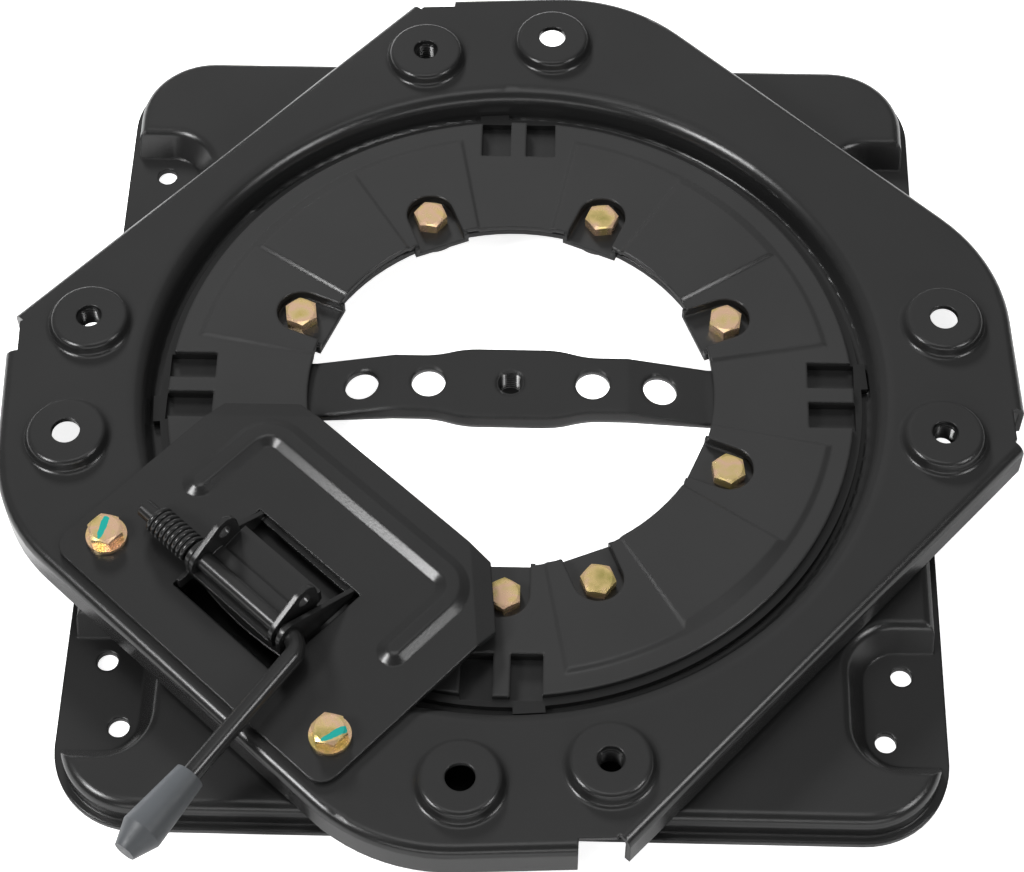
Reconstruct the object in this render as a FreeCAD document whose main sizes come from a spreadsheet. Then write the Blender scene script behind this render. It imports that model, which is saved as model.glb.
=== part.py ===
import FreeCAD, Part
import math
import os
import Sketcher

# Swivel plate for a seat base in a caravan or camper.
# The frame is in millimetres: the origin lies on the swivel axis at the underside
# of the mounting pads, +Z points up and -Y points to the side that the latch faces.
# The fixed group is the base plate with its strap and rings, the turning group is
# the top plate with the latch cover, and the lever with its pawl tilts in brackets.

SIZES = [
    # Base plate
    ("base_half_width", 180.1, "half width of the base plate"),
    ("base_half_length", 195.8, "half length of the base plate"),
    ("base_corner", 36.0, "corner radius of the base plate"),
    ("base_sheet", 3.0, "sheet thickness of the base plate"),
    ("base_rise", 14.5, "height of the main face"),
    ("rim_width", 3.5, "flat rim outside the wall"),
    ("base_fold", 5.0, "outer bend radius of the base plate"),
    ("pad_depth", 33.0, "length of a pad floor from the side edge"),
    ("pad_length", 51.0, "width of a pad floor along the side"),
    ("pad_corner", 14.0, "corner radius of a pad floor"),
    ("pad_wall_run", 8.0, "horizontal run of a pad wall"),
    ("near_pad_margin", 33.7, "near pads from the near edge"),
    ("far_pad_margin", 54.2, "far pads from the far edge"),
    ("outer_hole_margin", 17.2, "outer mounting holes from the side edge"),
    ("inner_hole_margin", 25.0, "inner mounting holes from the side edge"),
    ("hole_step", 15.0, "mounting holes from the middle of a pad"),
    ("base_hole_diameter", 8.8, "diameter of the mounting holes"),
    ("platform_rise", 6.5, "height of the round platform over the main face"),
    ("platform_fold", 1.5, "bend radius of the platform"),
    ("opening_margin", 10.0, "edge of the central opening inside the ring bolts"),
    ("lobe_radius", 13.5, "radius of the lobes round the ring bolts"),
    # Ring bolts
    ("bolt_circle", 100.0, "radius on which the ring bolts lie"),
    ("first_bolt_angle", 22.5, "angle of the first ring bolt"),
    ("front_bolt_turn", 112.5, "turn from the first ring bolt to the front one"),
    ("thread_diameter", 8.0, "diameter of the M8 threads"),
    ("hole_clearance", 0.3, "radial clearance of the bolts in their holes"),
    ("head_across", 13.0, "bolt heads and nuts across the flats"),
    ("head_height", 5.3, "height of a bolt head"),
    ("head_chamfer", 0.7, "drop of the chamfer on a bolt head"),
    ("nut_height", 6.5, "height of an M8 nut"),
    ("thread_gap", 0.03, "radial gap in a thread"),
    ("bolt_tip", 2.0, "bolt end past its nut"),
    # Rings
    ("running_gap", 0.3, "gap between sliding faces"),
    ("slide_ring_height", 4.4, "height of the slide ring"),
    ("slide_ring_inset", 1.0, "edge of the slide ring inside the guide ring"),
    ("guide_sheet", 3.0, "thickness of the guide ring"),
    ("guide_outer", 150.0, "outer radius of the guide ring"),
    ("guide_seat", 3.0, "width of the seat of the guide ring"),
    ("tab_width", 13.0, "width of a guide ring tab"),
    ("tab_length", 2.8, "length of a guide ring tab"),
    ("tab_angle", 4.3, "angle of the first tab"),
    ("ring_sheet", 2.5, "sheet thickness of the retaining ring"),
    ("ring_inset", 3.5, "edge of the retaining ring inside the guide ring"),
    ("ring_overhang", 13.0, "inner edge of the retaining ring inside the ring bolts"),
    ("panel_rise", 1.0, "rise of each panel step"),
    ("panel_margin", 10.5, "end of the panel tops from the edge of the ring"),
    ("panel_foot", 2.6, "width of the slope at the end of a panel"),
    ("panel_foot_angle", 0.85, "angle of the slope beside a panel"),
    ("wide_panel_angle", 33.7, "half angle of the wide panel"),
    ("middle_panel_angle", 11.7, "half angle of the middle panel"),
    ("slot_width", 13.1, "width of a latch slot"),
    ("slot_web", 7.0, "web between the two slots of a pair"),
    ("slot_length", 19.5, "length of a latch slot"),
    ("window_web", 3.0, "closed rim of the guide ring outside a slot"),
    ("pocket_radius", 10.5, "radius of a bolt pocket"),
    ("pocket_wall", 2.0, "wall of a bolt pocket"),
    ("pocket_overhang", 2.0, "start of the pocket floors inside the ring"),
    # Cross strap
    ("strap_end_gap", 3.8, "gap between the strap ends and the seat of the guide ring"),
    ("strap_foot_gap", 3.0, "end of the slopes inside the retaining ring"),
    ("strap_sheet", 3.0, "thickness of the strap"),
    ("strap_rise", 11.0, "height of the level middle over the platform"),
    ("strap_level", 50.0, "half length of the level middle"),
    ("strap_middle_width", 17.4, "half width at the middle"),
    ("strap_wave", 3.6, "depth of the waist"),
    ("strap_wave_length", 24.0, "length of the wave between the middle and a waist"),
    ("strap_bulge", 14.0, "half length of the wide middle"),
    ("strap_flange", 8.0, "depth of the turned down edges"),
    ("strap_hole_diameter", 14.5, "diameter of the strap holes"),
    ("strap_hole_one", 35.0, "first strap hole from the middle"),
    ("strap_hole_two", 63.7, "second strap hole from the middle"),
    ("centre_bore_diameter", 10.7, "bore of the middle nut"),
    ("collar_wall", 0.65, "wall of the collar of the middle nut"),
    ("collar_step", 3.5, "step between the collar and the body of the middle nut"),
    ("collar_depth", 8.0, "depth of the middle nut"),
    # Top plate
    ("turn_angle", 47.85, "turn of the top plate in the modelled pose"),
    ("plate_sheet", 2.5, "sheet thickness of the top plate"),
    ("short_side_margin", 29.0, "short sides from the edge of the recess"),
    ("long_side_margin", 14.2, "long sides from the edge of the recess"),
    ("plate_corner", 80.0, "radius into the short sides"),
    ("plate_fold", 4.5, "outer bend radius of the top plate"),
    ("skirt_depth", 17.5, "depth of the skirt"),
    ("recess_gap", 1.0, "gap between the tabs and the foot of the recess wall"),
    ("recess_slope", 3.6, "outward run of the recess wall"),
    ("recess_shoulder", 8.6, "width of the bent edge round the recess"),
    ("recess_depth", 13.3, "depth of the recess"),
    ("recess_bend", 7.5, "bend radius at the brim"),
    ("recess_heel", 2.5, "bend radius at the foot of the wall"),
    ("flange_gap", 2.0, "gap between the turning flange and the platform"),
    ("notch_before", 4.0, "relief notch before the corner"),
    ("notch_after", 8.0, "relief notch past the corner"),
    ("notch_depth", 5.5, "depth of a relief notch"),
    ("notch_slant", 6.5, "length of the slanted side of a notch"),
    ("boss_foot", 18.0, "radius of the foot of a boss"),
    ("boss_slope", 2.0, "inward run of the wall of a boss"),
    ("boss_rise", 5.0, "height of a boss"),
    ("boss_bend", 2.5, "bend radius of a boss"),
    ("threaded_boss_edge", 5.3, "flat between a threaded boss and the bent long side"),
    ("plain_boss_gap", 2.69, "flat between a plain boss and the recess"),
    ("plain_boss_edge", 7.51, "flat between a plain boss and the bent cut corner"),
    ("plain_boss_shift", 23.65, "plain bosses beside the middle of the cut corners"),
    ("plain_hole_diameter", 12.0, "diameter of the plain holes"),
    ("weld_nut_bore_diameter", 10.2, "bore of the weld nuts"),
    ("weld_nut_clearance", 0.4, "radial clearance of the holes over the weld nuts"),
    ("weld_nut_across", 19.0, "weld nuts across the flats"),
    ("weld_nut_height", 10.0, "height of the weld nuts"),
    # Latch cover
    ("cover_sheet", 2.5, "sheet thickness of the latch cover"),
    ("cover_outer", 35.2, "outer edge of the cover from the pivot axis"),
    ("cover_inner", 83.0, "inner edge of the cover from the pivot axis"),
    ("cover_half_width", 79.5, "half width of the cover"),
    ("cover_cut_length", 21.5, "length of the cut corners along the cover"),
    ("cover_cut_width", 23.5, "width of the cut corners across the cover"),
    ("cover_corner", 8.0, "radius of the outer corners"),
    ("facet_width", 8.0, "width of the folded corners"),
    ("facet_drop", 2.6, "drop of the folded corners"),
    ("bead_width", 14.0, "width of the foot of the bead"),
    ("bead_rise", 2.5, "height of the bead"),
    ("bead_top_width", 5.0, "width of the top of the bead"),
    ("bead_round", 4.0, "bend radius along the top of the bead"),
    ("bead_side_margin", 22.5, "arms of the bead from the sides of the cover"),
    ("bead_start", 26.5, "start of the arms of the bead from the pivot axis"),
    ("bead_end_margin", 16.5, "cross part of the bead from the inner edge"),
    ("bead_bend", 11.0, "centre radius of the corners of the bead"),
    ("window_outer", 13.5, "outer edge of the window from the pivot axis"),
    ("window_inner", 35.0, "inner edge of the window from the pivot axis"),
    ("window_gap", 0.9, "gap between the far cheek and the window"),
    ("plate_window_margin", 1.0, "edge of the plate inside the outer edge of the window"),
    ("plate_window_depth", 9.0, "depth of the cut in the brim under the window"),
    ("cover_bolt_step", 17.0, "cover bolts from the pivot axis"),
    ("cover_bolt_v", 65.5, "cover bolts across the plate"),
    ("washer_radius", 8.5, "radius of the washers"),
    ("washer_sheet", 1.6, "thickness of the washers"),
    # Lever
    ("pivot_rise", 9.0, "height of the pivot axis over the cover"),
    ("rod_diameter", 8.0, "diameter of the lever rod"),
    ("rod_end_length", 7.7, "free end of the rod past the spring"),
    ("rod_turn_gap", 0.05, "gap between the near cheek and the bend of the rod"),
    ("rod_bend", 7.5, "centre radius of the bend"),
    ("rod_chamfer", 0.8, "chamfer on the free end"),
    ("handle_angle", 7.8, "angle between the handle and the latch axis"),
    ("handle_length", 102.5, "handle from the corner to the end of the rod"),
    ("grip_cover", 33.5, "length of rod inside the grip"),
    ("grip_nose", 5.0, "length of the grip past the rod"),
    ("grip_taper", 10.0, "length of the tapered end of the grip"),
    ("grip_neck", 6.3, "radius of the grip at its neck"),
    ("grip_belly", 8.6, "largest radius of the grip"),
    ("grip_tip", 4.6, "radius of the grip at its tip"),
    ("grip_gap", 0.02, "radial gap between the grip and the rod"),
    ("pivot_gap", 0.08, "radial gap between the rod and the cheeks"),
    ("weld_gap", 0.02, "radial gap between the rod and the ears"),
    # Pawl
    ("ear_sheet", 2.2, "thickness of the ears"),
    ("far_ear_v", 25.0, "middle of the far ear"),
    ("near_ear_v", 21.0, "middle of the near ear"),
    ("ear_radius", 6.6, "radius of the ends of an ear"),
    ("ear_reach", 14.3, "hole of an ear from the pivot axis"),
    ("ear_tilt", 29.2, "slope of the ears"),
    ("ear_hole_diameter", 6.2, "diameter of the hole of an ear"),
    ("pawl_sheet", 2.5, "sheet thickness of the pawl"),
    ("pawl_tail", 6.5, "outer end of the pawl from the pivot axis"),
    ("pawl_knee", 5.5, "start of the slope of the pawl from the pivot axis"),
    ("pawl_reach", 20.2, "ridge of the pawl from the pivot axis"),
    ("pawl_ridge_rise", 3.2, "rise of the ridge over the tail"),
    ("tie_gap", 0.3, "gap between the rod and the tie between the ears"),
    ("tie_width", 5.6, "width of the tie between the ears"),
    ("tie_drop", 0.6, "top of the tie below the pivot axis"),
    ("tooth_inset", 6.0, "back of the teeth from the inner ends of the slots"),
    ("tooth_play", 0.35, "play of a tooth at either side in its slot"),
    ("tooth_gap", 0.4, "gap between the teeth and the highest panels"),
    ("tooth_length", 9.0, "height of the teeth"),
    # Cheeks
    ("cheek_sheet", 2.0, "thickness of the cheeks"),
    ("far_cheek_gap", 0.5, "gap between the far ear and its cheek"),
    ("near_cheek_gap", 2.1, "gap between the near ear and its cheek"),
    ("cheek_radius", 6.4, "radius of a cheek round the rod"),
    ("cheek_foot", 1.6, "height of the foot of a cheek under its round end"),
    ("cheek_tongue", 8.0, "length of the strip under the cover"),
    ("cheek_tail", 12.0, "outer end of the far cheek from the pivot axis"),
    ("cheek_tail_drop", 5.5, "drop of the outer end of the far cheek"),
    # Spring
    ("spring_wire", 2.3, "wire diameter of the spring"),
    ("spring_play", 0.2, "radial play between the coils and the rod"),
    ("spring_gap", 0.65, "gap between the far cheek and the first coil"),
    ("coil_gap", 0.15, "gap between neighbouring coils"),
    ("spring_turns", 9.0, "number of coils"),
]


class Size:
    """A number together with the sheet expression that gives it."""

    def __init__(self, text, value):
        self.text = text
        self.value = value

    def __add__(self, other):
        other = as_size(other)
        return Size(f"({self.text} + {other.text})", self.value + other.value)

    def __sub__(self, other):
        other = as_size(other)
        return Size(f"({self.text} - {other.text})", self.value - other.value)

    def __mul__(self, other):
        other = as_size(other)
        return Size(f"({self.text} * {other.text})", self.value * other.value)

    def __truediv__(self, other):
        other = as_size(other)
        return Size(f"({self.text} / {other.text})", self.value / other.value)

    def __neg__(self):
        return Size(f"(0 - {self.text})", -self.value)

    def __radd__(self, other):
        return as_size(other) + self

    def __rsub__(self, other):
        return as_size(other) - self

    def __rmul__(self, other):
        return as_size(other) * self


def as_size(number):
    if isinstance(number, Size):
        return number
    return Size(repr(float(number)), float(number))


def sine(angle):
    angle = as_size(angle)
    return Size(f"sin({angle.text})", math.sin(math.radians(angle.value)))


def cosine(angle):
    angle = as_size(angle)
    return Size(f"cos({angle.text})", math.cos(math.radians(angle.value)))


def tangent(angle):
    angle = as_size(angle)
    return Size(f"tan({angle.text})", math.tan(math.radians(angle.value)))


def arctangent(ratio):
    return Size(f"atan({ratio.text})", math.degrees(math.atan(ratio.value)))


def root(number):
    number = as_size(number)
    return Size(f"sqrt({number.text})", math.sqrt(number.value))


def fold_shift(sheet_size, rise, run):
    """Sideways shift between the two faces of a sheet at the start of a slope."""
    slope = root(rise * rise + run * run)
    return sheet_size * (slope - run) / rise


class Dimensions:
    """The driving dimensions by name."""


doc = FreeCAD.newDocument("SwivelPlate")
sheet = doc.addObject("Spreadsheet::Sheet", "Sizes")
dim = Dimensions()
for row, (alias, number, note) in enumerate(SIZES, start=1):
    sheet.set(f"A{row}", note)
    sheet.set(f"B{row}", str(number))
    sheet.setAlias(f"B{row}", alias)
    setattr(dim, alias, Size(f"Sizes.{alias}", float(number)))
doc.recompute()

EIGHTH = 45.0
HEX_TURN = 60.0
QUARTER = 90.0
FULL_TURN = 360.0
ROOT_HALF = math.sqrt(0.5)
ROOT_TWO = math.sqrt(2.0)
HEX_CORNER = 2.0 / math.sqrt(3.0)
OCTAGON_STEP = ROOT_TWO - 1.0
MARGIN = 5.0
ON_SPOT = 0.01
UP = FreeCAD.Vector(0, 0, 1)
NOTHING = as_size(0)

# Base plate, rings and strap: what follows from the sizes above
pad_inner_x = dim.base_half_width - dim.pad_depth
near_pad_y = dim.near_pad_margin + dim.pad_length / 2 - dim.base_half_length
far_pad_y = dim.base_half_length - dim.far_pad_margin - dim.pad_length / 2
outer_hole_x = dim.base_half_width - dim.outer_hole_margin
inner_hole_x = dim.base_half_width - dim.inner_hole_margin
bolt_hole = dim.thread_diameter + dim.hole_clearance * 2
opening_radius = dim.bolt_circle - dim.opening_margin
seat_inner = dim.bolt_circle + dim.pocket_radius + dim.pocket_wall + dim.running_gap
seat_outer = seat_inner + dim.guide_seat
platform_radius = seat_outer + dim.platform_fold - dim.running_gap
slide_ring_outer = dim.guide_outer - dim.slide_ring_inset
tab_reach = dim.guide_outer + dim.tab_length
ring_outer = dim.guide_outer - dim.ring_inset
ring_inner = dim.bolt_circle - dim.ring_overhang
panel_top_radius = ring_outer - dim.panel_margin
slot_inner = ring_outer - dim.slot_length
pocket_inner = ring_inner - dim.pocket_overhang
strap_reach = seat_inner - dim.strap_end_gap
strap_foot = ring_inner - dim.strap_foot_gap
strap_waist = dim.strap_bulge + dim.strap_wave_length
strap_waist_width = dim.strap_middle_width - dim.strap_wave
collar_radius = dim.centre_bore_diameter / 2 + dim.collar_wall
collar_body = collar_radius + dim.collar_step

# Heights that follow from the stack of sheets and rings
platform_height = dim.base_rise + dim.platform_rise
platform_under = platform_height - dim.base_sheet
flange_low = dim.base_rise + dim.slide_ring_height + dim.running_gap
flange_top = flange_low + dim.plate_sheet
guide_low = flange_top + dim.running_gap
guide_top = guide_low + dim.guide_sheet
ring_low = guide_top
ring_top = ring_low + dim.ring_sheet
highest_panel = ring_top + dim.panel_rise * 2
pocket_floor = platform_height + dim.ring_sheet
strap_height = platform_height + dim.strap_rise
plate_top = flange_top + dim.recess_depth
plate_under = plate_top - dim.plate_sheet
skirt_low = plate_top - dim.skirt_depth
cover_top = plate_top + dim.cover_sheet
pivot_height = cover_top + dim.pivot_rise
tooth_low = highest_panel + dim.tooth_gap

# Top plate: its recess, its outline and the places of its bosses
recess_foot = tab_reach + dim.recess_gap
recess_brim = recess_foot + dim.recess_slope
recess_radius = recess_brim + dim.recess_shoulder
flange_inner = platform_radius + dim.flange_gap
boss_top = dim.boss_foot - dim.boss_slope
plate_half_length = recess_radius + dim.short_side_margin
plate_half_width = recess_radius + dim.long_side_margin
plain_boss_reach = recess_radius + dim.boss_foot + dim.plain_boss_gap
corner_reach = plain_boss_reach + dim.boss_foot + dim.plate_fold + dim.plain_boss_edge
plate_chamfer = corner_reach * ROOT_TWO
plate_corner_u = plate_chamfer - plate_half_width
threaded_boss_v = plate_half_width - dim.plate_fold - dim.threaded_boss_edge - dim.boss_foot
threaded_boss_reach = recess_radius + dim.boss_foot
threaded_boss_u = root(
    threaded_boss_reach * threaded_boss_reach - threaded_boss_v * threaded_boss_v)
plain_boss_u = (plain_boss_reach + dim.plain_boss_shift) * ROOT_HALF
plain_boss_v = (plain_boss_reach - dim.plain_boss_shift) * ROOT_HALF
threaded_hole = dim.weld_nut_bore_diameter + dim.weld_nut_clearance * 2

# Latch: its places along and across the top plate
pivot_u = slot_inner + dim.tooth_inset + dim.pawl_reach
cover_outer_u = pivot_u + dim.cover_outer
cover_inner_u = pivot_u - dim.cover_inner
cover_cut_u = cover_inner_u + dim.cover_cut_length
cover_cut_v = dim.cover_half_width - dim.cover_cut_width
bead_arm_v = dim.cover_half_width - dim.bead_side_margin
bead_start_u = pivot_u - dim.bead_start
bead_cross_u = cover_inner_u + dim.bead_end_margin
far_cheek_v = dim.far_ear_v + dim.ear_sheet / 2 + dim.far_cheek_gap + dim.cheek_sheet / 2
near_cheek_v = dim.near_ear_v + dim.ear_sheet / 2 + dim.near_cheek_gap + dim.cheek_sheet / 2
window_outer_u = pivot_u + dim.window_outer
window_inner_u = pivot_u - dim.window_inner
window_half_width = far_cheek_v + dim.cheek_sheet / 2 + dim.window_gap
cover_bolt_u = pivot_u + dim.cover_bolt_step
tooth_width = dim.slot_width - dim.tooth_play * 2
bend_length = dim.rod_bend * tangent((QUARTER - dim.handle_angle) / 2)
rod_turn_v = near_cheek_v + dim.cheek_sheet / 2 + dim.rod_turn_gap + bend_length
grip_start = dim.handle_length - dim.grip_cover
grip_end = dim.handle_length + dim.grip_nose
spring_radius = (dim.rod_diameter + dim.spring_wire) / 2 + dim.spring_play
spring_start_v = far_cheek_v + dim.cheek_sheet / 2 + dim.spring_gap + dim.spring_wire / 2
spring_pitch = dim.spring_wire + dim.coil_gap
rod_end_v = spring_start_v + spring_pitch * dim.spring_turns + dim.rod_end_length


def bind(item, path, amount):
    item.setExpression(path, as_size(amount).text)


def origin_item(body, role):
    for item in body.Origin.OriginFeatures:
        if item.Role == role:
            return item
    raise ValueError(role)


def new_body(label, turned=False):
    """A body; a turned one lies in the frame of the top plate."""
    body = doc.addObject("PartDesign::Body", label)
    body.Label = label
    if turned:
        turn_with_plate(body)
    return body


def turn_with_plate(item):
    item.Placement = FreeCAD.Placement(FreeCAD.Vector(), FreeCAD.Rotation(UP, dim.turn_angle.value))
    bind(item, "Placement.Rotation.Angle", dim.turn_angle)


def attach(item, body, role, base, spin, about):
    item.AttachmentSupport = (origin_item(body, role), [""])
    item.MapMode = "FlatFace"
    if spin is not None:
        turn = FreeCAD.Rotation(about, as_size(spin).value)
        item.AttachmentOffset = FreeCAD.Placement(FreeCAD.Vector(), turn)
        bind(item, "AttachmentOffset.Rotation.Angle", spin)
    for axis, amount in zip("xyz", base):
        if amount is not None:
            bind(item, f"AttachmentOffset.Base.{axis}", amount)


def new_sketch(body, name, role="XY_Plane", base=(None, None, None), spin=None, about=UP):
    sketch = body.newObject("Sketcher::SketchObject", name)
    attach(sketch, body, role, base, spin, about)
    return sketch


def level_sketch(body, name, height, spin=None):
    return new_sketch(body, name, "XY_Plane", (None, None, height), spin)


def side_sketch(body, name, offset=None):
    """Sketch in the upright plane along X; its offset counts towards -Y."""
    return new_sketch(body, name, "XZ_Plane", (None, None, offset))


def arc_between(start, end, radius):
    """Arc from start to end that turns left for a positive radius."""
    chord = end - start
    half = chord.Length / 2
    reach = math.sqrt(max(radius * radius - half * half, 0.0))
    left = FreeCAD.Vector(-chord.y, chord.x, 0).normalize()
    side = 1.0 if radius > 0 else -1.0
    centre = start + chord * 0.5 + left * (reach * side)
    first, last = (start, end) if radius > 0 else (end, start)
    angle_one = math.atan2(first.y - centre.y, first.x - centre.x)
    angle_two = math.atan2(last.y - centre.y, last.x - centre.x)
    circle = Part.Circle(centre, UP, abs(radius))
    return Part.ArcOfCircle(circle, angle_one, angle_two)


def place_point(sketch, shape, point, x, y):
    """Fix a point of the sketch at two sheet distances from the origin."""
    for kind, amount in (("DistanceX", as_size(x)), ("DistanceY", as_size(y))):
        rule = Sketcher.Constraint(kind, -1, 1, shape, point, amount.value)
        index = sketch.addConstraint(rule)
        sketch.setExpression(f"Constraints[{index}]", amount.text)


def set_radius(sketch, shape, radius):
    radius = as_size(radius)
    index = sketch.addConstraint(Sketcher.Constraint("Radius", shape, radius.value))
    sketch.setExpression(f"Constraints[{index}]", radius.text)


def draw_chain(sketch, corners, closed=True):
    """Lines through the corners; a third entry makes the next side an arc of that radius."""
    spots = [FreeCAD.Vector(as_size(c[0]).value, as_size(c[1]).value, 0) for c in corners]
    count = len(corners) if closed else len(corners) - 1
    sides = []
    for index in range(count):
        start = spots[index]
        end = spots[(index + 1) % len(corners)]
        if len(corners[index]) > 2:
            radius = as_size(corners[index][2])
            shape = sketch.addGeometry(arc_between(start, end, radius.value), False)
            ends = (1, 2) if radius.value > 0 else (2, 1)
            size = radius if radius.value > 0 else -radius
        else:
            shape = sketch.addGeometry(Part.LineSegment(start, end), False)
            ends = (1, 2)
            size = None
        sides.append((shape, ends, size))
    for index, (shape, ends, size) in enumerate(sides):
        place_point(sketch, shape, ends[0], corners[index][0], corners[index][1])
        if closed or index + 1 < count:
            follower, follower_ends, unused = sides[(index + 1) % count]
            rule = Sketcher.Constraint("Coincident", shape, ends[1], follower, follower_ends[0])
            sketch.addConstraint(rule)
    if not closed:
        shape, ends, size = sides[-1]
        place_point(sketch, shape, ends[1], corners[-1][0], corners[-1][1])
    for shape, ends, size in sides:
        if size is not None:
            set_radius(sketch, shape, size)


def draw_circle(sketch, x, y, radius):
    spot = FreeCAD.Vector(as_size(x).value, as_size(y).value, 0)
    shape = sketch.addGeometry(Part.Circle(spot, UP, as_size(radius).value), False)
    place_point(sketch, shape, 3, x, y)
    set_radius(sketch, shape, radius)


def draw_box(sketch, left, right, low, high):
    draw_chain(sketch, [(left, low), (right, low), (right, high), (left, high)])


def draw_soft_box(sketch, left, right, low, high, radius):
    """Box with rounded corners."""
    draw_chain(sketch, [
        (left + radius, low), (right - radius, low, radius),
        (right, low + radius), (right, high - radius, radius),
        (right - radius, high), (left + radius, high, radius),
        (left, high - radius), (left, low + radius, radius)])


def draw_sector(sketch, inner, outer, half_angle):
    """Ring sector symmetric about the sketch's X axis."""
    draw_chain(sketch, [
        (inner * cosine(half_angle), -(inner * sine(half_angle))),
        (outer * cosine(half_angle), -(outer * sine(half_angle)), outer),
        (outer * cosine(half_angle), outer * sine(half_angle)),
        (inner * cosine(half_angle), inner * sine(half_angle), -as_size(inner))])


def draw_hexagon(sketch, x, y, across):
    reach = as_size(across) * (HEX_CORNER / 2)
    corners = []
    for step in range(6):
        angle = HEX_TURN * step
        corners.append((x + reach * cosine(angle), y + reach * sine(angle)))
    draw_chain(sketch, corners)


def draw_octagon(sketch, x, y, across):
    side = as_size(across) / 2
    step = side * OCTAGON_STEP
    draw_chain(sketch, [
        (x - side, y - step), (x - step, y - side), (x + step, y - side), (x + side, y - step),
        (x + side, y + step), (x + step, y + side), (x - step, y + side), (x - side, y + step)])


def draw_stadium_end(sketch, inner, centre, radius):
    """Tongue along X with a round outer end."""
    draw_chain(sketch, [
        (inner, -radius), (centre, -radius, radius), (centre + radius, 0.0, radius),
        (centre, radius), (inner, radius)])


def pad(body, sketch, length, name):
    feature = body.newObject("PartDesign::Pad", name)
    feature.Profile = sketch
    bind(feature, "Length", length)
    return feature


def pad_both_ways(body, sketch, length, name):
    feature = pad(body, sketch, length, name)
    feature.Midplane = True
    return feature


def pocket(body, sketch, length, name, upward=False):
    """Pocket against the sketch normal, or along it when upward."""
    feature = body.newObject("PartDesign::Pocket", name)
    feature.Profile = sketch
    feature.Reversed = upward
    bind(feature, "Length", length)
    return feature


def revolve(body, sketch, name, groove=False):
    kind = "PartDesign::Groove" if groove else "PartDesign::Revolution"
    feature = body.newObject(kind, name)
    feature.Profile = sketch
    feature.ReferenceAxis = (sketch, ["V_Axis"])
    feature.Angle = FULL_TURN
    return feature


def loft(body, first, second, name, cut=False):
    kind = "PartDesign::SubtractiveLoft" if cut else "PartDesign::AdditiveLoft"
    feature = body.newObject(kind, name)
    feature.Profile = first
    feature.Sections = [second]
    feature.Ruled = True
    return feature


def round_edges(body, radius, wanted, name, bevel=False):
    """Fillet or chamfer the edges of the present tip that the test wants."""
    doc.recompute()
    base = body.Tip
    names = [f"Edge{number}" for number, edge in enumerate(base.Shape.Edges, start=1) if wanted(edge)]
    if not names:
        raise ValueError(f"no edges for {name}")
    kind = "PartDesign::Chamfer" if bevel else "PartDesign::Fillet"
    feature = body.newObject(kind, name)
    feature.Base = (base, names)
    bind(feature, "Size" if bevel else "Radius", radius)
    return feature


def polar(body, originals, count, name, extent=None):
    feature = body.newObject("PartDesign::PolarPattern", name)
    feature.Originals = originals
    feature.Axis = (origin_item(body, "Z_Axis"), [""])
    feature.Occurrences = count
    feature.Angle = FULL_TURN
    if extent is not None:
        feature.Reversed = True
        bind(feature, "Angle", extent)
    body.Tip = feature
    return feature


def four_ways(body, originals, name):
    """Repeat the features in the four quadrants of the body's frame."""
    mirrors = []
    for role in ("YZ_Plane", "XZ_Plane"):
        mirror = body.newObject("PartDesign::Mirrored", f"{name}_{role[:2]}")
        mirror.MirrorPlane = (origin_item(body, role), [""])
        mirrors.append(mirror)
    feature = body.newObject("PartDesign::MultiTransform", name)
    feature.Originals = originals
    feature.Transformations = mirrors
    body.Tip = feature
    return feature


def at_height(edge, height):
    """True for an edge that lies in the level plane at this height."""
    box = edge.BoundBox
    return abs(box.ZMin - height.value) < ON_SPOT and abs(box.ZMax - height.value) < ON_SPOT


def is_ring(edge, radius, height=None):
    """True for a circle or arc of this radius, at this height where one is given."""
    if not hasattr(edge.Curve, "Radius"):
        return False
    if abs(edge.Curve.Radius - as_size(radius).value) > ON_SPOT:
        return False
    return height is None or at_height(edge, as_size(height))


def subtract(label, base, tool):
    cut = doc.addObject("Part::Cut", label)
    cut.Label = label
    cut.Base = base
    cut.Tool = tool
    return cut


def copies(label, source, spots, turned=False):
    """Links to one piece at several spots (x, y, spin), joined as one group."""
    links = []
    for number, (x, y, spin) in enumerate(spots, start=1):
        link = doc.addObject("App::Link", f"{label}_{number}")
        link.LinkedObject = source
        turn = FreeCAD.Rotation(UP, max(as_size(spin).value, ON_SPOT))
        link.Placement = FreeCAD.Placement(FreeCAD.Vector(), turn)
        bind(link, "Placement.Base.x", x)
        bind(link, "Placement.Base.y", y)
        bind(link, "Placement.Rotation.Angle", spin)
        links.append(link)
    group = doc.addObject("Part::Compound", label)
    group.Label = label
    group.Links = links
    if turned:
        turn_with_plate(group)
    return group


# Base plate: the outer form less the hollow one sheet thickness inside it
def base_outline(sketch, inset):
    draw_soft_box(
        sketch,
        inset - dim.base_half_width, dim.base_half_width - inset,
        inset - dim.base_half_length, dim.base_half_length - inset,
        dim.base_corner - inset)


def cut_pad_wells(body, floor, top, shift):
    """Sunk pads at both ends of one long side, mirrored to the other."""
    run = dim.pad_wall_run
    wells = []
    for place, middle in (("near", near_pad_y), ("far", far_pad_y)):
        sketches = []
        for level, height, grow in (("floor", floor, shift), ("top", top, shift + run)):
            sketch = level_sketch(body, f"{body.Name}_{place}_{level}", height)
            draw_soft_box(
                sketch,
                pad_inner_x - grow, dim.base_half_width + dim.pad_corner * 2 + MARGIN,
                middle - dim.pad_length / 2 - grow, middle + dim.pad_length / 2 + grow,
                dim.pad_corner + grow)
            sketches.append(sketch)
        wells.append(loft(body, sketches[0], sketches[1], f"{body.Name}_{place}_well", cut=True))
    mirror = body.newObject("PartDesign::Mirrored", f"{body.Name}_wells")
    mirror.Originals = wells
    mirror.MirrorPlane = (origin_item(body, "YZ_Plane"), [""])
    body.Tip = mirror


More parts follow.
